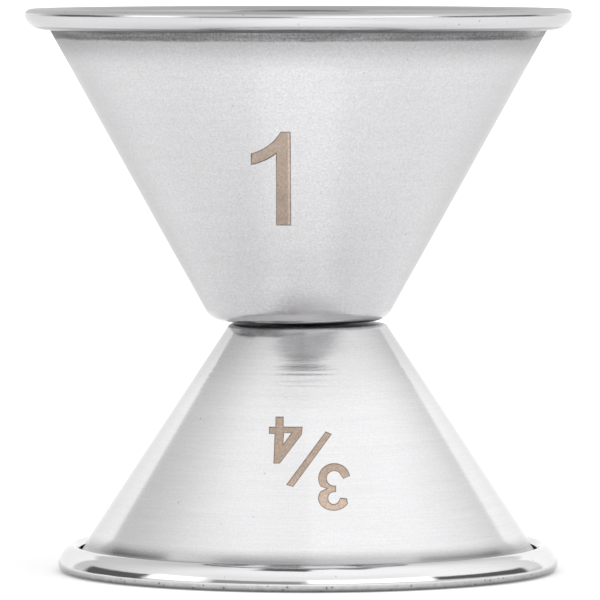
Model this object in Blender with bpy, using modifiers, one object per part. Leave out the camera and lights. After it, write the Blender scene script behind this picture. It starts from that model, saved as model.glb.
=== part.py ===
"""Double bar jigger: two drawn stainless cups of different sizes, welded base to base.

Each cup is one pressed sheet: a flat base with a dished centre, a conical wall and a rim that is
curled outwards into a hollow bead, whose free edge stops just short of the wall. The larger cup
stands mouth up on the smaller one, which is mouth down and sits slightly out of line.

Units are metres, +Z is up. The origin lies on the larger cup's axis, at the level of the surface
that the smaller cup's rim stands on.
"""

import math
from dataclasses import dataclass

import bpy

# Driving dimensions, in metres.
SHEET = 0.0006                  # thickness of the drawn sheet
GAP = 0.0003                    # air left between two pieces that touch
LOWER_CUP_OFFSET = 0.00098      # how far the smaller cup is welded off the larger cup's axis, along +X
DISH_DEPTH = 0.00045            # how far each base's centre is pressed towards its cup's mouth
DISH_RADIUS = 0.0035            # flat centre of the dish
DISH_FOOT = 0.0046              # where the dish meets the flat base
WELD_RADIUS = 0.0024            # weld nugget between the two dishes
WELD_FLAT = 0.0016              # flat part of the nugget, inside its rounded edge
TURNS = 64                      # facets around every turned piece
LAND = math.radians(9.0)        # half width of the flat at the top of a rim, around its section


@dataclass(frozen=True)
class Cup:
    """One drawn cup, described mouth up with the outside of its base on z = 0."""

    rim_radius: float           # outermost reach of the curled rim
    height: float               # base to the top of the rim
    wall_angle: float           # lean of the wall away from the axis
    corner_radius: float        # outside radius between base and wall
    bead_reach: float           # half of the long axis of the curled rim's oval section
    bead_inner: float           # half width of that oval on the mouth side of its long axis
    bead_outer: float           # half width of that oval on the other side
    bead_tilt: float            # how steeply the long axis rises outwards
    bead_end: float             # where the free edge stops, as an angle around the oval


UPPER_CUP = Cup(
    rim_radius=0.0284,
    height=0.0324,
    wall_angle=math.radians(28.96),
    corner_radius=0.0022,
    bead_reach=0.00149,
    bead_inner=0.00091,
    bead_outer=0.00091,
    bead_tilt=math.radians(30.0),
    bead_end=math.radians(-135.0),
)

LOWER_CUP = Cup(
    rim_radius=0.0260,
    height=0.02575,
    wall_angle=math.radians(33.44),
    corner_radius=0.0008,
    bead_reach=0.00147,
    bead_inner=0.00125,
    bead_outer=0.00081,
    bead_tilt=math.radians(60.9),
    bead_end=math.radians(-198.0),
)

WAIST = LOWER_CUP.height + GAP / 2.0    # height of the plane between the two bases


def stretch(start, end, steps):
    """Evenly spaced values from start to end, both included."""
    return [start + (end - start) * i / steps for i in range(steps + 1)]


def bead_centre(cup):
    """Centre of the rim's oval, from the rim's outermost reach and the cup's height."""
    out = math.hypot(cup.bead_reach * math.cos(cup.bead_tilt), cup.bead_outer * math.sin(cup.bead_tilt))
    rise = math.hypot(cup.bead_reach * math.sin(cup.bead_tilt), cup.bead_inner * math.cos(cup.bead_tilt))
    return cup.rim_radius - out, cup.height - rise * math.cos(LAND)


def bead_point(cup, inset, angle):
    """Point at an angle around the rim's oval, or around the same oval shrunk by inset."""
    half_width = cup.bead_inner if math.sin(angle) > 0.0 else cup.bead_outer
    along = (cup.bead_reach - inset) * math.cos(angle)
    across = (half_width - inset) * math.sin(angle)
    centre_r, centre_z = bead_centre(cup)
    cos_tilt = math.cos(cup.bead_tilt)
    sin_tilt = math.sin(cup.bead_tilt)
    return centre_r + along * cos_tilt - across * sin_tilt, centre_z + along * sin_tilt + across * cos_tilt


def wall_contact(cup, inset):
    """Angle around the oval at which it runs on smoothly into the wall."""
    lean = math.pi / 2.0 - cup.wall_angle - cup.bead_tilt
    return math.atan2(
        math.cos(lean) / (cup.bead_reach - inset),
        -math.sin(lean) / (cup.bead_inner - inset),
    )


def base_radius(cup):
    """Radius at which the outside of the wall, carried straight down, would meet z = 0."""
    r, z = bead_point(cup, SHEET, wall_contact(cup, SHEET))
    return r - z * math.tan(cup.wall_angle)


def corner(cup, radius, steps):
    """Arc from the base to the wall, about the corner's own centre."""
    turn = math.pi / 2.0 - cup.wall_angle
    centre_r = base_radius(cup) - cup.corner_radius * math.tan(turn / 2.0)
    centre_z = cup.corner_radius
    return [
        (centre_r + radius * math.cos(angle), centre_z + radius * math.sin(angle))
        for angle in stretch(-math.pi / 2.0, -cup.wall_angle, steps)
    ]


def cup_profile(cup):
    """Section of a cup: from the axis up the inside, around the curled rim and down the outside."""
    top = math.atan2(cup.bead_inner * math.cos(cup.bead_tilt), cup.bead_reach * math.sin(cup.bead_tilt))
    widest = math.atan2(-cup.bead_outer * math.sin(cup.bead_tilt), cup.bead_reach * math.cos(cup.bead_tilt))
    inside_floor = [
        (0.0, SHEET + DISH_DEPTH),
        (DISH_RADIUS, SHEET + DISH_DEPTH),
        (DISH_FOOT, SHEET),
    ]
    skin = stretch(wall_contact(cup, 0.0), top + LAND, 3)
    skin += stretch(top - LAND, widest, 3)
    skin += stretch(widest, cup.bead_end, 7)[1:]
    hollow = stretch(cup.bead_end, wall_contact(cup, SHEET), 8)
    outside_base = [
        (DISH_FOOT, 0.0),
        (DISH_RADIUS, DISH_DEPTH),
        (0.0, DISH_DEPTH),
    ]
    return (
        inside_floor
        + corner(cup, cup.corner_radius - SHEET, 3)
        + [bead_point(cup, 0.0, angle) for angle in skin]
        + [bead_point(cup, SHEET, angle) for angle in hollow]
        + corner(cup, cup.corner_radius, 4)[::-1]
        + outside_base
    )


def weld_profile():
    """Section of the weld nugget: a flat disc with a rounded edge, centred on z = 0."""
    half_height = GAP / 2.0 + DISH_DEPTH - GAP
    edge = [
        (WELD_FLAT + (WELD_RADIUS - WELD_FLAT) * math.cos(angle), half_height * math.sin(angle))
        for angle in stretch(math.pi / 2.0, -math.pi / 2.0, 6)
    ]
    return [(0.0, half_height)] + edge + [(0.0, -half_height)]


def steel(name, colour, roughness):
    """Bare stainless steel."""
    material = bpy.data.materials.new(name)
    material.use_nodes = True
    shader = material.node_tree.nodes["Principled BSDF"]
    shader.inputs["Base Color"].default_value = (*colour, 1.0)
    shader.inputs["Metallic"].default_value = 1.0
    shader.inputs["Roughness"].default_value = roughness
    return material


def turned(name, profile, material, collection):
    """A section in the XZ plane, turned around Z."""
    mesh = bpy.data.meshes.new(name)
    points = [(r, 0.0, z) for r, z in profile]
    mesh.from_pydata(points, [(i, i + 1) for i in range(len(points) - 1)], [])
    piece = bpy.data.objects.new(name, mesh)
    collection.objects.link(piece)
    screw = piece.modifiers.new("turn", "SCREW")
    screw.axis = "Z"
    screw.angle = 2.0 * math.pi
    screw.steps = TURNS
    screw.render_steps = TURNS
    screw.use_merge_vertices = True
    screw.merge_threshold = 0.000001
    screw.use_smooth_shade = True
    mesh.materials.append(material)
    return piece


def build():
    for old in list(bpy.data.objects):
        bpy.data.objects.remove(old, do_unlink=True)
    jigger = bpy.data.collections.new("bar_jigger")
    bpy.context.scene.collection.children.link(jigger)

    upper = turned("upper_cup", cup_profile(UPPER_CUP), steel("satin_steel", (0.75, 0.75, 0.76), 0.3), jigger)
    upper.location = (0.0, 0.0, WAIST + GAP / 2.0)

    lower = turned("lower_cup", cup_profile(LOWER_CUP), steel("brushed_steel", (0.77, 0.77, 0.78), 0.28), jigger)
    lower.location = (LOWER_CUP_OFFSET, 0.0, WAIST - GAP / 2.0)
    lower.rotation_euler = (math.pi, 0.0, 0.0)

    weld = turned("spot_weld", weld_profile(), steel("weld_steel", (0.45, 0.42, 0.4), 0.5), jigger)
    weld.location = (LOWER_CUP_OFFSET / 2.0, 0.0, WAIST)


build()
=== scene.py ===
"""Looks of the double bar jigger: fine turned cups with etched measure numerals, in brushed and
polished stainless steel, on a pale studio floor.

Units are metres. Each cup is built in its own frame, mouth up with the outside of its base on
z = 0 and its numeral facing -Y, and is then placed on its CAD node.
"""

import math
from dataclasses import dataclass

import bpy
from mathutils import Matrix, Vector
from mathutils.geometry import delaunay_2d_cdt


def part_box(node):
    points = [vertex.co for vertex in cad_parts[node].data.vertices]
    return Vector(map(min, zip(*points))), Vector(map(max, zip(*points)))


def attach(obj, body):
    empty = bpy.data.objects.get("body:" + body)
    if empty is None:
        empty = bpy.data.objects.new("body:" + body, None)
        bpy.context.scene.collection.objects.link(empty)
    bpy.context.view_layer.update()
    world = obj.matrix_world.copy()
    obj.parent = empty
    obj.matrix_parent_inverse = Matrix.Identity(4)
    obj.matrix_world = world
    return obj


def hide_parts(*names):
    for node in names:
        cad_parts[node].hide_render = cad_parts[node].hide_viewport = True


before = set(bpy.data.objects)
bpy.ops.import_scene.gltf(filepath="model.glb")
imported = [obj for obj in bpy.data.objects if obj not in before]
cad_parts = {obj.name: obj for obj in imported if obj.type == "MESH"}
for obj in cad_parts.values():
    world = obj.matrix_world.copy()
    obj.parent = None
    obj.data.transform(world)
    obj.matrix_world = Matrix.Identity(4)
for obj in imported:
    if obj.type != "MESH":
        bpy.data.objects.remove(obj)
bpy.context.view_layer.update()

MM = 0.001
MICRON = 0.001 * MM
MM_PER_METRE = 1000.0

# The cups' own dimensions, as in the CAD model.
SHEET = 0.6 * MM
DISH_DEPTH = 0.45 * MM          # how far the centre of a base is pressed up
DISH_RADIUS = 3.5 * MM          # edge of that centre's flat top
DISH_FOOT = 4.6 * MM            # where its slope ends
DISH_OUTER = 6.0 * MM           # outermost point of the flat ring around it

# The welding electrode's mark inside a cup.
MARK_DEPTH = 0.06 * MM
MARK_RADIUS = 2.0 * MM
MARK_SLOPE = 0.5 * MM           # width of the mark's sloping edge

# Fineness of the turned surfaces.
TURNS = 240                     # facets around
WALL_STEP = 0.5 * MM            # height of the facets on the walls
FINE_STEP = WALL_STEP / 4.0     # height of the facets just below a curl
FINE_HEIGHT = 4.0 * MM          # how far down from the curl's end those go
DISH_STEPS = 30
INNER_CORNER_STEPS = 8
OUTER_CORNER_STEPS = 10
CURL_OUTSIDE_STEPS = 56
CURL_INSIDE_STEPS = 24
SHARP_ANGLE = math.radians(50.0)
ON_AXIS = 1e-9                  # points nearer to the axis than this are on it

# The curl hides the top of the wall, and this much more below its lowest point.
CURL_COVER = 0.1 * MM
CURL_SCAN_STEPS = 60

# The etched numerals.
ETCH_DEPTH = 0.03 * MM
ETCH_BORDER = 0.10 * MM         # width of the darker burnt line around a numeral
ETCH_STEP = 0.35 * MM           # longest edge along a numeral's outline
ETCH_MARGIN = 0.5 * MM          # how far around the numerals the wall's facets are redone
ETCH_CLEARANCE = 0.16 * MM      # wall points nearer to an outline than this are left out
CLEARANCE_STEP = 0.1 * MM       # spacing of the outline's points for that
MITRE_LIMIT = 0.35              # a corner of an inset outline moves at most the inset over this
MERGE_DISTANCE = 1e-5           # millimetres

# Finishes, by their places in a cup's list of materials. ETCH fills a numeral and BURN borders it.
INSIDE, BEAD, WALL, CORNER, ETCH, BURN = range(6)


@dataclass(frozen=True)
class Cup:
    """One drawn cup, described mouth up with the outside of its base on z = 0."""

    rim_radius: float           # outermost reach of the curled rim
    height: float               # base to the top of the rim
    wall_angle: float           # lean of the wall away from the axis
    corner_radius: float        # outside radius between base and wall
    bead_reach: float           # half of the long axis of the curled rim's oval section
    bead_inner: float           # half width of that oval on the mouth side of its long axis
    bead_outer: float           # half width of that oval on the other side
    bead_tilt: float            # how steeply the long axis rises outwards
    bead_end: float             # where the free edge stops, as an angle around the oval
    neck_tilt: float = 0.0      # how much the wall steepens just below the curl
    neck_height: float = 0.0    # height over which it does so


def cup_of(node, **shape):
    """A cup whose rim radius and height are those of its CAD node."""
    low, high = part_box(node)
    return Cup(rim_radius=(high.x - low.x) / 2.0, height=high.z - low.z, **shape)


def stretch(start, end, steps):
    """Evenly spaced values from start to end, both included."""
    return [start + (end - start) * i / steps for i in range(steps + 1)]


def smooth_step(t):
    """0 below 0 and 1 above 1, with an even slope between."""
    t = min(max(t, 0.0), 1.0)
    return t * t * (3.0 - 2.0 * t)


# ---------------------------------------------------------------- sections of the cups


def bead_centre(cup):
    """Centre of the curled rim's oval, as radius and height."""
    out = math.hypot(cup.bead_reach * math.cos(cup.bead_tilt), cup.bead_outer * math.sin(cup.bead_tilt))
    rise = math.hypot(cup.bead_reach * math.sin(cup.bead_tilt), cup.bead_inner * math.cos(cup.bead_tilt))
    return cup.rim_radius - out, cup.height - rise


def bead_point(cup, inset, angle):
    """Point at an angle around the rim's oval, or around the same oval shrunk by inset."""
    half_width = cup.bead_inner if math.sin(angle) > 0.0 else cup.bead_outer
    along = (cup.bead_reach - inset) * math.cos(angle)
    across = (half_width - inset) * math.sin(angle)
    centre_r, centre_z = bead_centre(cup)
    cos_tilt = math.cos(cup.bead_tilt)
    sin_tilt = math.sin(cup.bead_tilt)
    return centre_r + along * cos_tilt - across * sin_tilt, centre_z + along * sin_tilt + across * cos_tilt


def wall_contact(cup, inset):
    """Angle around the oval at which it runs on smoothly into the wall."""
    lean = math.pi / 2.0 - cup.wall_angle - cup.bead_tilt
    return math.atan2(
        math.cos(lean) / (cup.bead_reach - inset),
        -math.sin(lean) / (cup.bead_inner - inset),
    )


def wall_radius(cup, z):
    """Outside radius of the wall at a height."""
    r, top = bead_point(cup, SHEET, wall_contact(cup, SHEET))
    return r - (top - z) * math.tan(cup.wall_angle)


def corner(cup, radius, steps):
    """Arc from the base to the wall, about the corner's own centre."""
    turn = math.pi / 2.0 - cup.wall_angle
    centre_r = wall_radius(cup, 0.0) - cup.corner_radius * math.tan(turn / 2.0)
    centre_z = cup.corner_radius
    return [
        (centre_r + radius * math.cos(angle), centre_z + radius * math.sin(angle))
        for angle in stretch(-math.pi / 2.0, -cup.wall_angle, steps)
    ]


def dish(level, mark_depth):
    """Base from the axis outwards: pressed-up centre with a small electrode mark, then the flat ring."""
    points = []
    for r in stretch(0.0, DISH_OUTER, DISH_STEPS):
        rise = DISH_DEPTH * smooth_step((DISH_FOOT - r) / (DISH_FOOT - DISH_RADIUS))
        mark = mark_depth * smooth_step((MARK_RADIUS - r) / MARK_SLOPE)
        points.append((r, level + rise - mark))
    return points


def on_the_way(a, b, i, steps):
    """Point i on the way from a to b in equal steps."""
    return (a[0] + (b[0] - a[0]) * i / steps, a[1] + (b[1] - a[1]) * i / steps)


def straight(start, end, step=WALL_STEP):
    """Points between two points of a wall, ends left out."""
    steps = max(2, round(math.dist(start, end) / step))
    return [on_the_way(start, end, i, steps) for i in range(1, steps)]


def necked(cup, points):
    """Wall points from the curl downwards, drawn in where the wall steepens just below the curl."""
    if not cup.neck_tilt:
        return points
    curl = [bead_point(cup, 0.0, a) for a in stretch(0.0, cup.bead_end, CURL_SCAN_STEPS)]
    hidden_above = min(z for _, z in curl) + CURL_COVER
    top = points[0][1]
    steepening = math.tan(cup.wall_angle) - math.tan(cup.wall_angle - cup.neck_tilt)
    depth = steepening * cup.neck_height / 2.0
    drawn = []
    for r, z in points:
        if z < hidden_above:
            share = max(0.0, 1.0 - (hidden_above - z) / cup.neck_height) ** 2
        else:
            share = 1.0 - smooth_step((z - hidden_above) / (top - hidden_above))
        drawn.append((r - depth * share, z))
    return drawn


def cup_section(cup):
    """Section from the axis up the inside, over the rim and down the outside, as (finish, points)."""
    inner_corner = corner(cup, cup.corner_radius - SHEET, INNER_CORNER_STEPS)
    outer_corner = corner(cup, cup.corner_radius, OUTER_CORNER_STEPS)[::-1]
    skin_angles = stretch(wall_contact(cup, 0.0), cup.bead_end, CURL_OUTSIDE_STEPS)
    hollow_angles = stretch(cup.bead_end, wall_contact(cup, SHEET), CURL_INSIDE_STEPS)
    skin = [bead_point(cup, 0.0, a) for a in skin_angles]
    hollow = [bead_point(cup, SHEET, a) for a in hollow_angles]
    wall_top = hollow[-1]
    fine_end = wall_top[1] - FINE_HEIGHT
    below_curl = (wall_radius(cup, fine_end), fine_end)
    neck = necked(cup, straight(wall_top, below_curl, FINE_STEP) + [below_curl])
    return [
        (INSIDE, dish(SHEET, MARK_DEPTH) + inner_corner + straight(inner_corner[-1], skin[0])),
        (BEAD, skin + hollow),
        (WALL, neck + straight(below_curl, outer_corner[0])),
        (CORNER, outer_corner + dish(0.0, 0.0)[::-1]),
    ]


# ---------------------------------------------------------------- numerals, as closed outlines


def oval_arc(centre, half_width, half_height, start, end, steps):
    """Points along an oval, from one angle to another in degrees."""
    points = []
    for degrees in stretch(start, end, steps):
        angle = math.radians(degrees)
        points.append((centre[0] + half_width * math.cos(angle), centre[1] + half_height * math.sin(angle)))
    return points


def sag(start, end, depth, steps):
    """Shallow bow between two points, hanging to the right of the way from start to end."""
    length = math.dist(start, end)
    along = ((end[0] - start[0]) / length, (end[1] - start[1]) / length)
    return [
        (
            start[0] + (end[0] - start[0]) * t + along[1] * depth * 4.0 * t * (1.0 - t),
            start[1] + (end[1] - start[1]) * t - along[0] * depth * 4.0 * t * (1.0 - t),
        )
        for t in stretch(0.0, 1.0, steps)
    ]


def numeral_one():
    """The 1 of the larger cup, in millimetres across and up from the base."""
    stem_foot = [(-2.29, 10.49), (-0.73, 10.49), (-0.80, 20.20)]
    upper_edge = sag((-4.84, 17.94), (-1.80, 20.20), 0.38, 8)[::-1]
    lower_edge = sag((-4.84, 16.74), (-2.28, 17.89), 0.17, 6)
    return stem_foot + upper_edge + lower_edge


def numeral_three():
    """The 3 of the smaller cup's 3/4, a wide lower loop and a narrower upper one."""
    lower = (-2.64, 14.80)
    upper = (-2.60, 16.71)
    outline = [(-4.26, 14.60)]
    outline += oval_arc(lower, 1.63, 1.48, 192.0, 393.0, 26)
    outline += [(-1.83, 15.78)]
    outline += oval_arc(upper, 1.60, 1.22, -34.0, 154.0, 24)
    outline += [(-3.95, 16.76), (-3.27, 16.66)]
    outline += oval_arc(upper, 0.56, 0.57, 160.0, -80.0, 18)
    outline += [(-2.84, 16.12), (-2.84, 15.50)]
    outline += oval_arc(lower, 0.74, 0.70, 84.0, -160.0, 20)
    outline += [(-3.56, 14.86)]
    return outline


def numeral_four():
    """The 4 of the smaller cup's 3/4, and the triangle inside it."""
    outline = [
        (2.49, 8.79), (3.32, 8.80), (3.35, 9.79), (4.00, 9.80), (4.00, 10.51), (3.42, 10.50),
        (3.54, 13.38), (2.88, 13.37), (0.64, 10.55), (0.55, 9.76), (2.49, 9.77),
    ]
    counter = [(1.74, 10.40), (2.44, 10.40), (2.52, 11.44)]
    return outline, counter


def slash():
    """The stroke between the smaller cup's 3 and 4."""
    return [(-1.77, 10.23), (2.25, 15.43), (1.52, 15.62), (-2.44, 10.48)]


# ---------------------------------------------------------------- meshes


def inset_outline(outline, amount):
    """The outline of a counterclockwise loop moved inwards, or outwards for a negative amount."""
    moved = []
    for i, here in enumerate(outline):
        before = outline[i - 1]
        after = outline[(i + 1) % len(outline)]
        a = Vector((here[0] - before[0], here[1] - before[1])).normalized()
        b = Vector((after[0] - here[0], after[1] - here[1])).normalized()
        left = Vector((-a.y, a.x)) + Vector((-b.y, b.x))
        reach = amount / max(MITRE_LIMIT, left.length / 2.0)
        left.normalize()
        moved.append((here[0] + left.x * reach, here[1] + left.y * reach))
    return moved


def edges(loop):
    """Pairs of neighbouring points around a closed loop."""
    return list(zip(loop, loop[1:] + loop[:1]))


def counterclockwise(outline):
    """The same closed outline, run counterclockwise."""
    doubled_area = sum(a[0] * b[1] - b[0] * a[1] for a, b in edges(outline))
    return outline if doubled_area > 0.0 else outline[::-1]


def dense(loop, step):
    """Points along a closed loop, no further apart than step."""
    points = []
    for a, b in edges(loop):
        steps = max(1, math.ceil(math.dist(a, b) / step))
        points += [on_the_way(a, b, i, steps) for i in range(steps)]
    return points


class Turned:
    """A surface turned about +Z from a section, closed at the axis at both ends.

    The section runs from the axis up the inside and back to the axis along the outside. Column 0 of
    the facets is at -Y, and columns are counted towards +X.
    """

    def __init__(self, section):
        self.points = []
        self.finish = []        # finish of the ring of facets that follows each point
        for finish, points in section:
            self.points += points
            self.finish += [finish] * len(points)
        self.verts = []
        self.faces = []
        self.face_finish = []
        self.rings = []
        for r, z in self.points:
            if r < ON_AXIS:
                self.rings.append([len(self.verts)] * TURNS)
                self.verts.append((0.0, 0.0, z))
            else:
                self.rings.append(list(range(len(self.verts), len(self.verts) + TURNS)))
                self.verts += [self.place(r, math.tau * j / TURNS, z) for j in range(TURNS)]

    @staticmethod
    def place(r, angle, z):
        """Point at a radius, an angle counted from -Y, and a height."""
        return (r * math.sin(angle), -r * math.cos(angle), z)

    def add(self, face, finish):
        self.faces.append(face)
        self.face_finish.append(finish)

    def turn(self, left_out=()):
        """Facets of the whole surface, apart from the (ring, column) pairs that are left out."""
        for i in range(len(self.points) - 1):
            upper = self.rings[i]
            lower = self.rings[i + 1]
            for j in range(TURNS):
                if (i, j) in left_out:
                    continue
                k = (j + 1) % TURNS
                corners = (upper[j], lower[j], lower[k], upper[k])
                self.add(tuple(dict.fromkeys(corners)), self.finish[i])

    def mesh(self, name):
        """The mesh of the added facets, without the points that none of them uses."""
        used = sorted({v for face in self.faces for v in face})
        renumbered = {v: i for i, v in enumerate(used)}
        mesh = bpy.data.meshes.new(name)
        faces = [[renumbered[v] for v in face] for face in self.faces]
        mesh.from_pydata([self.verts[v] for v in used], [], faces)
        mesh.polygons.foreach_set("material_index", self.face_finish)
        mesh.shade_smooth()
        mesh.set_sharp_from_angle(angle=SHARP_ANGLE)
        mesh.update()
        return mesh


def etch(turned, cup, outlines, counters):
    """Sinks numerals into the outside of the wall, and returns the (ring, column) facets they replace.

    Outlines are given as seen from the front, in metres across and up from the base.
    """
    outlines = [dense(counterclockwise(o), ETCH_STEP) for o in outlines]
    counters = [dense(counterclockwise(c), ETCH_STEP) for c in counters]

    # The wall is laid flat: u runs around it, in metres at half its height, and z up it.
    scale = wall_radius(cup, cup.height / 2.0)

    def flat_loop(loop):
        return [(scale * math.asin(x / wall_radius(cup, z)), z) for x, z in loop]

    edges_out = [flat_loop(o) for o in outlines]
    edges_in = [flat_loop(inset_outline(o, ETCH_BORDER)) for o in outlines]
    holes_out = [flat_loop(c) for c in counters]
    holes_in = [flat_loop(inset_outline(c, -ETCH_BORDER)) for c in counters]

    # The patch of the wall that is redone, in rings and columns.
    us = [u for loop in edges_out for u, _ in loop]
    zs = [z for loop in edges_out for _, z in loop]
    pitch = math.tau * scale / TURNS
    first = math.floor((min(us) - ETCH_MARGIN) / pitch)
    last = math.ceil((max(us) + ETCH_MARGIN) / pitch)
    lowest = min(zs) - ETCH_MARGIN
    highest = max(zs) + ETCH_MARGIN
    rings = [
        i for i, finish in enumerate(turned.finish)
        if finish == WALL and lowest < turned.points[i][1] < highest
    ]

    # Its points on the wall's own grid, apart from those too near to an outline.
    kept_clear = [p for loop in edges_out + holes_out for p in dense(loop, CLEARANCE_STEP)]
    coords = []
    verts = []
    index = {}
    for i in rings:
        for j in range(first, last + 1):
            at = (pitch * j, turned.points[i][1])
            on_edge = i in (rings[0], rings[-1]) or j in (first, last)
            near = any(math.dist(at, p) < ETCH_CLEARANCE for p in kept_clear)
            if near and not on_edge:
                continue
            index[(i, j)] = len(coords)
            coords.append(at)
            verts.append(turned.rings[i][j % TURNS])

    def boundary_loop():
        down = [(i, first) for i in rings]
        along = [(rings[-1], j) for j in range(first + 1, last + 1)]
        up = [(i, last) for i in rings[-2::-1]]
        back = [(rings[0], j) for j in range(last - 1, first, -1)]
        return [index[key] for key in down + along + up + back]

    # The patch is cut into triangles along the outlines.
    faces = [boundary_loop()]
    kinds = ["patch"]
    loops_of = {"out": edges_out, "in": edges_in, "hole": holes_out, "hole_in": holes_in}
    for kind, loops in loops_of.items():
        for loop in loops:
            faces.append(list(range(len(coords), len(coords) + len(loop))))
            kinds.append(kind)
            coords += loop
    vectors = [Vector((u / MM, z / MM)) for u, z in coords]
    inside_only = 1
    new_coords, _, new_faces, orig_verts, _, orig_faces = delaunay_2d_cdt(
        vectors, [], faces, inside_only, MERGE_DISTANCE, True,
    )

    def surface_point(u, z, depth):
        r = wall_radius(cup, z) - depth * math.cos(cup.wall_angle)
        return turned.place(r, u / scale, z + depth * math.sin(cup.wall_angle))

    top = []
    for at, sources in zip(new_coords, orig_verts):
        on_grid = [s for s in sources if s < len(verts)]
        if on_grid:
            top.append(verts[on_grid[0]])
        else:
            top.append(len(turned.verts))
            turned.verts.append(surface_point(at[0] * MM, at[1] * MM, 0.0))

    bottom = {}

    def lowered(k):
        """The sunken point under a point of the patch."""
        if k not in bottom:
            bottom[k] = len(turned.verts)
            turned.verts.append(surface_point(new_coords[k][0] * MM, new_coords[k][1] * MM, ETCH_DEPTH))
        return bottom[k]

    # Facets inside an outline are sunk, and steps join them to the wall around them.
    sunk_edges = {}
    for face, sources in zip(new_faces, orig_faces):
        inside = {kinds[s] for s in sources}
        if "out" in inside and "hole" not in inside:
            core = "in" in inside and "hole_in" not in inside
            turned.add(tuple(lowered(k) for k in face), ETCH if core else BURN)
            sunk_edges.update(dict.fromkeys(edges(face)))
        else:
            turned.add(tuple(top[k] for k in face), WALL)
    for a, b in sunk_edges:
        if (b, a) not in sunk_edges:
            turned.add((top[a], top[b], lowered(b), lowered(a)), BURN)
    return {(i, j % TURNS) for i in rings[:-1] for j in range(first, last)}


def metres(outline):
    """An outline in millimetres turned into metres."""
    return [(x * MM, z * MM) for x, z in outline]


def make_cup(name, cup, outlines, counters, materials):
    """A cup with its numerals etched in. The materials are listed in the order INSIDE to BURN."""
    turned = Turned(cup_section(cup))
    replaced = etch(turned, cup, [metres(o) for o in outlines], [metres(c) for c in counters])
    turned.turn(left_out=replaced)
    piece = bpy.data.objects.new(name, turned.mesh(name))
    for steel in materials:
        piece.data.materials.append(steel)
    bpy.context.scene.collection.objects.link(piece)
    return piece


# ---------------------------------------------------------------- shader helpers


class Nodes:
    """Builds one node tree with short calls; inputs are sockets or plain values."""

    def __init__(self, tree):
        self.tree = tree
        tree.nodes.clear()

    def new(self, kind, inputs=None, **settings):
        node = self.tree.nodes.new(kind)
        for key, value in settings.items():
            setattr(node, key, value)
        for key, value in (inputs or {}).items():
            if isinstance(value, bpy.types.NodeSocket):
                self.tree.links.new(value, node.inputs[key])
            else:
                node.inputs[key].default_value = value
        return node

    def math(self, operation, *values):
        return self.new("ShaderNodeMath", dict(enumerate(values)), operation=operation).outputs[0]

    def times(self, *values):
        """Product of two or more values."""
        product, *others = values
        for value in others:
            product = self.math("MULTIPLY", product, value)
        return product

    def fit(self, value, low, high, to_low=0.0, to_high=1.0):
        """The value carried smoothly from one range to another, held at its ends."""
        node = self.new(
            "ShaderNodeMapRange",
            {"Value": value, "From Min": low, "From Max": high, "To Min": to_low, "To Max": to_high},
            interpolation_type="SMOOTHSTEP",
            clamp=True,
        )
        return node.outputs["Result"]

    def within(self, value, low, high, soft):
        """1 between low and high and 0 outside, over a soft edge."""
        rise = self.fit(value, low - soft, low + soft)
        fall = self.fit(value, high - soft, high + soft)
        return self.math("MULTIPLY", rise, self.math("SUBTRACT", 1.0, fall))

    def axis(self, vector, index):
        """One component of a vector."""
        return self.new("ShaderNodeSeparateXYZ", {0: vector}).outputs[index]

    def stretched(self, vector, x, y, z):
        return self.new("ShaderNodeVectorMath", {0: vector, 1: (x, y, z)}, operation="MULTIPLY").outputs[0]

    def noise(self, vector, scale=1.0, detail=2.0, roughness=0.5):
        """Cloudy values around 0.5."""
        inputs = {"Vector": vector, "Scale": scale, "Detail": detail, "Roughness": roughness}
        return self.new("ShaderNodeTexNoise", inputs).outputs["Fac"]

    def swing(self, noise, amount):
        """Noise turned into a factor around 1."""
        return self.math("MULTIPLY_ADD", self.math("SUBTRACT", noise, 0.5), 2.0 * amount, 1.0)

    def wander(self, value, noise, reach):
        """The value shifted to and fro by noise, over a reach in all."""
        return self.math("ADD", value, self.times(self.math("SUBTRACT", noise, 0.5), reach))

    def blend(self, mask, plain, masked):
        """Plain number where the mask is 0, and the masked one where it is 1."""
        return self.new("ShaderNodeMix", {0: mask, 2: plain, 3: masked}, data_type="FLOAT").outputs[0]

    def colour(self, mask, plain, masked):
        """The same for colours."""
        return self.new("ShaderNodeMix", {0: mask, 6: plain, 7: masked}, data_type="RGBA").outputs[2]

    def shaded(self, colour, value):
        """A colour times a number."""
        return self.new("ShaderNodeVectorMath", {0: colour, "Scale": value}, operation="SCALE").outputs[0]

    def bump(self, height, distance, normal=None):
        inputs = {"Height": height, "Distance": distance, "Strength": 1.0}
        if normal is not None:
            inputs["Normal"] = normal
        return self.new("ShaderNodeBump", inputs).outputs[0]


def material(name):
    made = bpy.data.materials.new(name)
    made.use_nodes = True
    return made, Nodes(made.node_tree)


def cycles(pitch):
    """Texture scale for features of a size in millimetres."""
    return MM_PER_METRE / pitch


def position(n):
    return n.new("ShaderNodeTexCoord").outputs["Object"]


def height_of(n, at):
    """Height in millimetres, counted from the outside of a cup's base."""
    return n.math("MULTIPLY", n.axis(at, 2), MM_PER_METRE)


def from_axis(n, at):
    """Distance from the vertical axis, in metres."""
    squares = [n.math("POWER", n.axis(at, i), 2.0) for i in (0, 1)]
    return n.math("SQRT", n.math("ADD", *squares))


def brush_lines(n, at, around, across):
    """Fine lines that run around the axis; around and across are their pitches in millimetres."""
    return n.noise(n.stretched(at, cycles(around), cycles(around), cycles(across)), detail=3.0)


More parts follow.
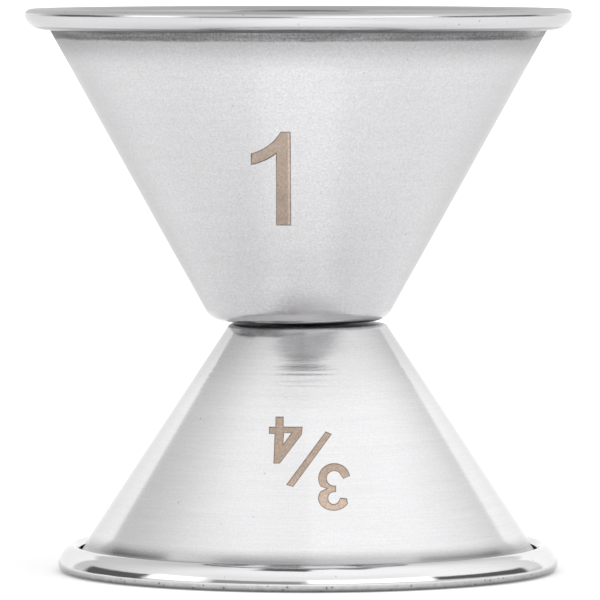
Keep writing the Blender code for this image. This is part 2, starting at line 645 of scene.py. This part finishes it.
def specks(n, at, pitch, share, size):
    """Sparse small dots in cells of a pitch in millimetres: 1 in a dot, 0 elsewhere.

    share is how many of the cells have a dot, and size is its radius as a share of the pitch.
    """
    cells = n.new("ShaderNodeTexVoronoi", {"Vector": at, "Scale": cycles(pitch)})
    draw = n.new("ShaderNodeSeparateColor", {0: cells.outputs["Color"]}).outputs[0]
    picked = n.math("LESS_THAN", draw, share)
    full_within = size * 0.4
    return n.times(picked, n.fit(cells.outputs["Distance"], size, full_within))


# ---------------------------------------------------------------- steels

SATIN = (0.575, 0.572, 0.582)       # reflectance of the larger cup's duller steel
BRIGHT = (0.715, 0.712, 0.722)      # reflectance of the smaller cup's glossier steel
RIM_EDGE = 0.8                      # tint of reflections at grazing angles

HEAT_BLUE = (0.36, 0.37, 0.44, 1.0)
HEAT_STRAW = (0.50, 0.44, 0.34, 1.0)


def metal(n, colour, roughness, normal, anisotropy=0.0, edge=RIM_EDGE):
    """Metal surface whose blur runs up and down the wall, across brush lines that run around it."""
    tangent = n.new("ShaderNodeTangent", direction_type="RADIAL", axis="Z").outputs[0]
    quarter_turn = 0.25
    shader = n.new(
        "ShaderNodeBsdfPrincipled",
        {
            "Base Color": colour, "Metallic": 1.0, "Roughness": roughness, "Normal": normal,
            "Tangent": tangent, "Anisotropic": anisotropy, "Anisotropic Rotation": quarter_turn,
            "Specular Tint": (edge, edge, edge, 1.0),
        },
    )
    n.new("ShaderNodeOutputMaterial", {"Surface": shader.outputs[0]})


def shaded_side(n, at):
    """1 on the side of the smaller cup that faces left, where painted shade darkens its waist, 0 on the
    other.
    """
    cloud = n.noise(at, cycles(3.0))
    across = n.wander(n.axis(at, 0), cloud, 2.0 * MM)
    return n.fit(across, 1.5 * MM, 5.0 * MM)


def raw_sheet_and_dark_reflection(n, at, height, grit, start):
    """Tone factor of a wall whose sheet is unbrushed above a height, and painted dark, streaky and patchy
    there as a painted dark reflection.
    """
    level = n.wander(height, n.noise(at, cycles(3.0)), 0.25)
    raw_and_reflecting = n.fit(level, start - 0.12, start + 0.12)
    streaks = n.times(n.swing(brush_lines(n, at, around=9.0, across=0.25), 0.6), n.swing(grit, 0.5))
    # Painted dark reflection on the unbrushed strip, in patches, and paler towards the far right.
    patches = n.fit(n.noise(at, cycles(16.0)), 0.35, 0.65, 0.42, 0.60)
    paler_right_end = n.fit(n.axis(at, 0), 23.0 * MM, 24.2 * MM)
    patches = n.blend(paler_right_end, patches, 0.9)
    return n.blend(raw_and_reflecting, 1.0, n.times(streaks, patches))


def foot_shade(n, at, height, top):
    """Tone factor of a wall that is painted dark and speckled below a height on one side, as painted shade
    at the waist.
    """
    low_down = n.fit(height, top + 0.1, top - 0.1)
    before_end = n.fit(n.axis(at, 0), 7.4 * MM, 6.6 * MM)
    # Painted shade at the waist, on one side of the smaller cup.
    painted_low_shade = n.times(low_down, shaded_side(n, at), before_end)
    speckled = n.times(n.swing(n.noise(at, cycles(0.35), detail=3.0), 0.45), 0.52)
    return n.blend(painted_low_shade, 1.0, speckled)


def rings_left(n, at, height, bands):
    """Height of the faint rings that the brush has left, strong within the bands and weak elsewhere."""
    strength = 0.15
    for low, high, depth in bands:
        strength = n.math("ADD", strength, n.times(n.within(height, low, high, 0.4), depth))
    return n.times(brush_lines(n, at, around=45.0, across=0.40), strength)


def wall_steel(
    name, steel, edge, brush, grain, roughness, anisotropy, curl_shade_and_dulling, raw_and_reflection_above=None, rippled=(), drawn=None,
):
    """Brushed wall that is glossier near its base, with all heights in millimetres.

    brush and grain are how much the tone swings along the brush lines and from grain to grain.
    The curl's shading and dulling is (low, high, tone): the tone falls from full at low to that tone at
    high, towards the curl, as painted shade next to the curl, and the steel gets rougher on the way, where
    the brush reaches less. Above the raw height the sheet is unbrushed, and painted darker, streaky and
    patchy as a painted dark reflection. rippled lists (low, high, depth): between those heights the brush
    has left faint rings. Below drawn one side is painted dark and speckled, as painted shade at the waist,
    and a wall with such a foot is also painted darker towards its base by the weld, as painted shade
    between the cups, and rougher there.
    """
    made, n = material(name)
    at = position(n)
    height = height_of(n, at)
    fine = brush_lines(n, at, around=5.0, across=0.12)
    broad = brush_lines(n, at, around=22.0, across=0.7)
    grit = n.noise(at, cycles(0.22), roughness=0.6)
    cloud = n.noise(at, cycles(14.0))
    dots = specks(n, at, pitch=1.1, share=0.05, size=0.16)
    tone = n.times(
        n.swing(fine, brush), n.swing(grit, grain), n.swing(broad, 0.6 * brush), n.swing(cloud, 0.05),
        n.blend(dots, 1.0, 0.75),
    )
    shade_and_rough_start, shade_and_rough_end, painted_curl_shade = curl_shade_and_dulling
    # Painted shade next to the curl: the tone falls towards it.
    tone = n.times(tone, n.fit(height, shade_and_rough_start, shade_and_rough_end, 1.0, painted_curl_shade))
    glossier_low = n.fit(height, 4.0, 7.0, 0.6, 1.0)
    rougher_high = n.fit(height, shade_and_rough_start, shade_and_rough_end, 1.0, 2.4)
    rough = n.times(n.swing(cloud, 0.12), roughness, glossier_low, rougher_high)
    if raw_and_reflection_above is not None:
        tone = n.times(tone, raw_sheet_and_dark_reflection(n, at, height, grit, raw_and_reflection_above))
    if drawn is not None:
        # Painted shade between the cups: the wall darkens towards its base at the waist.
        painted_waist_shade = n.fit(height, 0.0, 9.0, 0.76, 1.0)
        rougher_low = n.fit(height, 2.0, 3.2, 1.7, 1.0)
        tone = n.times(tone, painted_waist_shade, foot_shade(n, at, height, drawn))
        rough = n.times(rough, rougher_low)
    normal = n.bump(grit, 2.2 * MICRON, n.bump(fine, 1.8 * MICRON))
    if rippled:
        normal = n.bump(rings_left(n, at, height, rippled), 7.0 * MICRON, normal)
    metal(n, n.shaded(steel, tone), rough, normal, anisotropy, edge)
    return made


def scuffed_and_shaded_foot(n, at, height, start):
    """Tone factor of a rim that stands on the bar: smeared, dented and darker above a height, partly as
    painted shade, then dark as a painted contact shadow.
    """
    worn = n.fit(height, start, start + 0.3)
    # Painted contact shadow: the underside that rests on the floor darkens towards its edge.
    painted_rim_shadow = n.fit(height, start + 0.3, start + 0.8, 1.0, 0.36)
    dents = specks(n, at, pitch=0.5, share=0.4, size=0.34)
    smear = n.noise(at, cycles(0.9), detail=3.0, roughness=0.65)
    # Real smear and dents, over a darkening of the whole worn band that is painted shade.
    scuffs_and_shade = n.times(n.swing(smear, 0.30), n.blend(dents, 0.62, 0.28))
    return n.times(n.blend(worn, 1.0, scuffs_and_shade), painted_rim_shadow)


def polished_steel(name, steel, roughness, scuffed_and_shaded_above=None, raw_and_shaded_below=None, handled_and_shaded_above=None):
    """Buffed steel: sharp reflections that wander slightly, with a few small pits.

    Above the scuff height, in millimetres, it is more pitted and duller, partly as painted shade, where the
    rim stands on the bar, and dark towards that edge as a painted contact shadow. Below the raw height it
    is the unbuffed underside of the curl, painted dark as painted shade under the curl. Above the handled
    height it is painted greyer, as painted shade on the top of the brim, and blurrier, where the brim is
    poured from and wiped.
    """
    made, n = material(name)
    at = position(n)
    height = height_of(n, at)
    wave = n.noise(at, cycles(4.0))
    scratches = brush_lines(n, at, around=3.0, across=0.1)
    pits = specks(n, at, pitch=0.7, share=0.12, size=0.2)
    tone = n.times(n.swing(scratches, 0.05), n.blend(pits, 1.0, 0.65))
    rough = n.times(n.swing(scratches, 0.3), roughness)
    if scuffed_and_shaded_above is not None:
        tone = n.times(tone, scuffed_and_shaded_foot(n, at, height, scuffed_and_shaded_above))
    if raw_and_shaded_below is not None:
        # Painted shade under the curl: its unbuffed underside is darkened.
        underside = n.fit(height, raw_and_shaded_below - 0.15, raw_and_shaded_below + 0.05, 0.4, 1.0)
        tone = n.times(tone, underside)
    if handled_and_shaded_above is not None:
        # Painted shade on the top of the brim: greyer there, and blurrier from handling.
        worn_and_shaded_top = n.fit(height, handled_and_shaded_above, handled_and_shaded_above + 0.12)
        tone = n.times(tone, n.blend(worn_and_shaded_top, 1.0, 0.90))
        rough = n.times(rough, n.blend(worn_and_shaded_top, 1.0, 2.2))
    relief = n.math("SUBTRACT", scratches, pits)
    normal = n.bump(relief, 2.0 * MICRON, n.bump(wave, 30.0 * MICRON))
    metal(n, n.shaded(steel, tone), rough, normal)
    return made


def drawn_steel(name):
    """Corner of the smaller cup, left as it was drawn: grainy, and painted darker on one side as painted
    shade in the waist.
    """
    made, n = material(name)
    at = position(n)
    grit = n.noise(at, cycles(0.35), detail=3.0, roughness=0.65)
    # Painted shade: the corner is darker on one side.
    tone = n.times(n.blend(shaded_side(n, at), 0.85, 0.42), n.swing(grit, 0.35))
    metal(n, n.shaded(BRIGHT, tone), 0.34, n.bump(grit, 6.0 * MICRON))
    return made


def inside_steel(name):
    """Spun and lightly polished inside of a cup."""
    made, n = material(name)
    at = position(n)
    rings = brush_lines(n, at, around=14.0, across=0.25)
    grit = n.noise(at, cycles(0.3))
    tone = n.times(n.swing(rings, 0.10), n.swing(grit, 0.05))
    rough = n.times(n.swing(grit, 0.2), 0.24)
    metal(n, n.shaded(SATIN, tone), rough, n.bump(rings, 2.5 * MICRON), anisotropy=0.6)
    return made


def etched(name, pale, dark, fading=None, highlight_band=None):
    """Dull burnt marking, finely hatched up and down in a pale and a dark colour.

    fading is (low, high, tone): burnt at full tone below low, and of that tone above high, in
    millimetres. The highlight band is (left, right), in metres: the marking is paler there, a painted
    highlight down the edge of the stroke.
    """
    made, n = material(name)
    at = position(n)
    hatch = n.noise(n.stretched(at, cycles(0.16), cycles(0.16), cycles(0.9)))
    dots = n.noise(at, cycles(0.2), detail=3.0, roughness=0.7)
    mottle = n.noise(at, cycles(1.2))
    tone = n.swing(mottle, 0.12)
    if fading is not None:
        low, high, faded = fading
        tone = n.times(tone, n.fit(height_of(n, at), low, high, 1.0, faded))
    if highlight_band is not None:
        # Painted highlight: a paler band along the edge of the stroke.
        painted_highlight = n.within(n.axis(at, 0), *highlight_band, 0.05 * MM)
        tone = n.times(tone, n.blend(painted_highlight, 1.0, 1.38))
    burnt = n.colour(n.fit(n.blend(0.5, hatch, dots), 0.35, 0.65), dark, pale)
    metal(n, n.shaded(burnt, tone), 0.42, n.bump(dots, 4.0 * MICRON))
    return made


def weld_steel(name):
    """Resistance weld: dull steel with a faint blue heat tint around its middle and straw beyond."""
    made, n = material(name)
    at = position(n)
    ragged = n.math("ADD", from_axis(n, at), n.times(n.noise(at, cycles(1.0)), 0.8 * MM))
    tint = n.colour(n.fit(ragged, 1.2 * MM, 2.8 * MM), HEAT_BLUE, HEAT_STRAW)
    grit = n.noise(at, cycles(0.15), detail=3.0)
    metal(n, n.shaded(tint, n.swing(grit, 0.25)), 0.45, n.bump(grit, 6.0 * MICRON))
    return made


# ---------------------------------------------------------------- the jigger

upper_shape = cup_of(
    "upper_cup",
    wall_angle=math.radians(28.96),
    corner_radius=2.2 * MM,
    bead_reach=1.49 * MM,
    bead_inner=0.91 * MM,
    bead_outer=0.91 * MM,
    bead_tilt=math.radians(30.0),
    bead_end=math.radians(-135.0),
)
lower_shape = cup_of(
    "lower_cup",
    wall_angle=math.radians(33.44),
    corner_radius=0.8 * MM,
    bead_reach=1.47 * MM,
    bead_inner=1.25 * MM,
    bead_outer=0.81 * MM,
    bead_tilt=math.radians(60.9),
    bead_end=math.radians(-207.0),
    neck_tilt=math.radians(17.0),
    neck_height=1.2 * MM,
)

inside = inside_steel("inside_spun")
upper_rim = polished_steel("rim_satin", SATIN, roughness=0.20, raw_and_shaded_below=30.65, handled_and_shaded_above=31.93)
lower_rim = polished_steel("rim_polished", BRIGHT, roughness=0.09, scuffed_and_shaded_above=24.85)
upper_corner = polished_steel("corner_satin", SATIN, roughness=0.2)
lower_corner = drawn_steel("corner_drawn")
upper_wall = wall_steel(
    "wall_satin", SATIN, edge=0.70, brush=0.05, grain=0.24, roughness=0.26, anisotropy=0.6,
    curl_shade_and_dulling=(26.0, 29.35, 0.88), raw_and_reflection_above=29.35,
)
lower_wall = wall_steel(
    "wall_brushed", BRIGHT, edge=0.75, brush=0.06, grain=0.09, roughness=0.125, anisotropy=0.9,
    curl_shade_and_dulling=(21.5, 23.1, 0.56), rippled=((4.0, 6.0, 3.0), (21.0, 23.0, 1.3)), drawn=1.0,
)
upper_fill = etched(
    "etch_large", pale=(0.41, 0.33, 0.272, 1.0), dark=(0.29, 0.235, 0.195, 1.0),
    fading=(12.5, 20.0, 1.1), highlight_band=(-1.07 * MM, -0.87 * MM),
)
lower_fill = etched(
    "etch_small", pale=(0.54, 0.425, 0.347, 1.0), dark=(0.385, 0.305, 0.247, 1.0),
    fading=(13.5, 17.0, 1.25),
)
upper_edge = etched(
    "etch_border_large", pale=(0.30, 0.245, 0.215, 1.0), dark=(0.21, 0.17, 0.15, 1.0),
    fading=(16.6, 17.4, 0.62),
)
lower_edge = etched(
    "etch_border_small", pale=(0.36, 0.275, 0.225, 1.0), dark=(0.26, 0.20, 0.165, 1.0),
)


def stand(piece, node, mouth_down):
    """Puts a cup on its CAD node's axis, base to base with the other."""
    low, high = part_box(node)
    centre = (low + high) / 2.0
    piece.location = (centre.x, centre.y, high.z if mouth_down else low.z)
    piece.rotation_euler = (0.0, math.pi if mouth_down else 0.0, 0.0)
    bpy.context.view_layer.update()


upper = make_cup(
    "upper_cup_shell", upper_shape, [numeral_one()], [],
    [inside, upper_rim, upper_wall, upper_corner, upper_fill, upper_edge],
)
stand(upper, "upper_cup", mouth_down=False)
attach(upper, "root")
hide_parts("upper_cup")

four, four_counter = numeral_four()
lower = make_cup(
    "lower_cup_shell", lower_shape, [numeral_three(), slash(), four], [four_counter],
    [inside, lower_rim, lower_wall, lower_corner, lower_fill, lower_edge],
)
stand(lower, "lower_cup", mouth_down=True)
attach(lower, "root")
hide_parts("lower_cup")

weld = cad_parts["spot_weld"]
weld.data.materials.clear()
weld.data.materials.append(weld_steel("weld_heat_tint"))

# ---------------------------------------------------------------- floor, light and camera

WHITE = (1.0, 1.0, 1.0, 1.0)

FLOOR_HALF = 12.0               # half of its side
FLOOR_GAP = 0.02 * MM           # how far below the foot it lies
FLOOR_GLOW = 0.63
FLOOR_ALBEDO = 0.85

CAMERA_TILT = 0.0529            # how far it looks down, in radians
CAMERA_DISTANCE = 728.9 * MM
CAMERA_TARGET = Vector((0.152 * MM, 0.0, 28.16 * MM))
SENSOR_WIDTH = 36.0             # millimetres
FOCAL_LENGTH = 420.5            # millimetres


@dataclass(frozen=True)
class Panel:
    """A patch of the studio's surroundings, in degrees, with a brightness of its own.

    Azimuth is 0 in front of the jigger, at -Y, and grows towards +X. The soft edges are given as half
    widths, sideways and up and down. The edges of a sloping panel sink towards the back.
    """

    azimuth: tuple
    elevation: tuple
    level: float
    soft: tuple
    sloping: bool = False


AROUND = (
    # Two softboxes.
    Panel(azimuth=(-80.0, -51.0), elevation=(8.0, 28.0), level=2.0, soft=(2.0, 3.0)),
    Panel(azimuth=(0.0, 60.0), elevation=(8.0, 28.0), level=2.0, soft=(2.0, 3.0)),
    # Dark gaps between them and at both sides.
    Panel(azimuth=(-46.0, -1.0), elevation=(3.0, 21.0), level=0.38, soft=(3.0, 3.0)),
    Panel(azimuth=(-125.0, -82.0), elevation=(-4.0, 23.0), level=0.13, soft=(2.0, 2.5), sloping=True),
    Panel(azimuth=(62.0, 121.0), elevation=(5.0, 21.0), level=0.13, soft=(2.0, 2.5), sloping=True),
)
OVERHEAD = (
    # A dark patch and two bright ones at the edge of the dim zenith.
    Panel(azimuth=(-58.0, 1.0), elevation=(70.5, 91.0), level=0.12, soft=(2.0, 1.5)),
    Panel(azimuth=(4.0, 58.0), elevation=(70.5, 82.0), level=1.3, soft=(2.0, 1.5)),
    Panel(azimuth=(-98.0, -64.0), elevation=(70.5, 78.0), level=1.2, soft=(2.0, 1.5)),
)
ZENITH_LEVEL = 0.22
LOW_LEVEL = 0.85                # at the horizon and below
SLOPE = 0.13                    # how far a sloping panel sinks, in degrees per degree


def floor_material(name):
    """Pale floor that is partly lit and partly glows, and isn't there when seen from below.

    Its glow is painted light, and it glows less close to the jigger, beside it and on its left: a painted
    contact shadow around the jigger and painted shade at its sides and on its left.
    """
    made, n = material(name)
    at = position(n)
    x = n.axis(at, 0)
    away = from_axis(n, at)
    aside = n.math("ABSOLUTE", x)
    # Painted contact shadow close to the jigger, and painted shade on its left, beside it and along its
    # flanks, all in the floor's glow.
    near = n.fit(away, 28.0 * MM, 52.0 * MM, 0.74, 1.0)
    painted_left_shade = n.fit(x, -50.0 * MM, 0.0, 0.93, 1.0)
    painted_side_shade = n.fit(aside, 35.0 * MM, 65.0 * MM, 1.0, 0.76)
    painted_flank_shadow = n.times(n.fit(aside, 12.0 * MM, 28.0 * MM), n.fit(away, 75.0 * MM, 36.0 * MM))
    glow = n.times(near, painted_left_shade, painted_side_shade, n.blend(painted_flank_shadow, 1.0, 0.58), FLOOR_GLOW)
    lit = n.new("ShaderNodeBsdfDiffuse", {"Color": (FLOOR_ALBEDO, FLOOR_ALBEDO, FLOOR_ALBEDO, 1.0)})
    glowing = n.new("ShaderNodeEmission", {"Color": WHITE, "Strength": glow})
    both = n.new("ShaderNodeAddShader", {0: lit.outputs[0], 1: glowing.outputs[0]})
    behind = n.new("ShaderNodeNewGeometry").outputs["Backfacing"]
    clear = n.new("ShaderNodeBsdfTransparent")
    mixed = n.new("ShaderNodeMixShader", {0: behind, 1: both.outputs[0], 2: clear.outputs[0]})
    n.new("ShaderNodeOutputMaterial", {"Surface": mixed.outputs[0]})
    return made


def make_floor(name, half):
    mesh = bpy.data.meshes.new(name)
    corners = [(-half, -half, 0.0), (half, -half, 0.0), (half, half, 0.0), (-half, half, 0.0)]
    mesh.from_pydata(corners, [], [(0, 1, 2, 3)])
    mesh.materials.append(floor_material("floor_pale"))
    floor = bpy.data.objects.new(name, mesh)
    floor.location.z = -FLOOR_GAP
    bpy.context.scene.collection.objects.link(floor)


def make_world():
    """Soft white studio: a pale backdrop, two softboxes and a few dark gaps."""
    world = bpy.data.worlds.new("studio")
    bpy.context.scene.world = world
    world.use_nodes = True
    n = Nodes(world.node_tree)
    at = n.new("ShaderNodeTexCoord").outputs["Generated"]
    x, y, z = (n.axis(at, i) for i in range(3))
    to_degrees = math.degrees(1.0)
    azimuth = n.times(n.math("ARCTAN2", x, n.times(y, -1.0)), to_degrees)
    elevation = n.times(n.math("ARCSINE", z), to_degrees)
    aside = n.math("ABSOLUTE", azimuth)
    sloping = n.math("MULTIPLY_ADD", n.math("SUBTRACT", aside, 90.0), SLOPE, elevation)

    def with_panels(level, panels):
        for panel in panels:
            height = sloping if panel.sloping else elevation
            sideways, upright = panel.soft
            mask = n.times(
                n.within(azimuth, *panel.azimuth, sideways), n.within(height, *panel.elevation, upright),
            )
            level = n.blend(mask, level, panel.level)
        return level

    # Brightest in front and to the right, dimmer towards the back, and a little dimmer low ahead.
    from_left = n.fit(azimuth, -130.0, -55.0, 0.80, 1.19)
    rightwards = n.fit(azimuth, -60.0, 30.0, 0.0, 0.08)
    behind_right = n.fit(azimuth, 75.0, 180.0, 1.0, 0.63)
    level = n.times(n.math("ADD", from_left, rightwards), behind_right)
    ahead = n.times(n.fit(aside, 78.0, 40.0), n.fit(elevation, 56.0, 36.0))
    level = n.times(level, n.blend(ahead, 1.0, 0.89))
    low_down = n.fit(elevation, 9.0, 5.0)
    level = n.blend(low_down, level, LOW_LEVEL)
    backdrop = n.times(n.fit(aside, 136.5, 139.0), n.fit(elevation, 31.0, 27.0))
    level = n.blend(backdrop, level, n.fit(x, -0.3, 0.3, 1.30, 1.38))
    level = with_panels(level, AROUND)
    zenith = n.fit(elevation, 72.0, 76.0)
    level = n.blend(zenith, level, ZENITH_LEVEL)
    level = with_panels(level, OVERHEAD)
    background = n.new("ShaderNodeBackground", {"Color": WHITE, "Strength": level})
    n.new("ShaderNodeOutputWorld", {"Surface": background.outputs[0]})


def make_camera():
    """Long lens a little above the object, looking along +Y."""
    data = bpy.data.cameras.new("camera")
    data.sensor_width = SENSOR_WIDTH
    data.lens = FOCAL_LENGTH
    data.clip_start = 0.05
    data.clip_end = 40.0
    camera = bpy.data.objects.new("camera", data)
    back = Vector((0.0, -math.cos(CAMERA_TILT), math.sin(CAMERA_TILT)))
    camera.location = CAMERA_TARGET + CAMERA_DISTANCE * back
    camera.rotation_mode = "QUATERNION"
    camera.rotation_quaternion = (-back).to_track_quat("-Z", "Y")
    bpy.context.scene.collection.objects.link(camera)
    bpy.context.scene.camera = camera


make_floor("studio_floor", FLOOR_HALF)
make_world()
make_camera()
bpy.context.scene.view_settings.view_transform = "Standard"
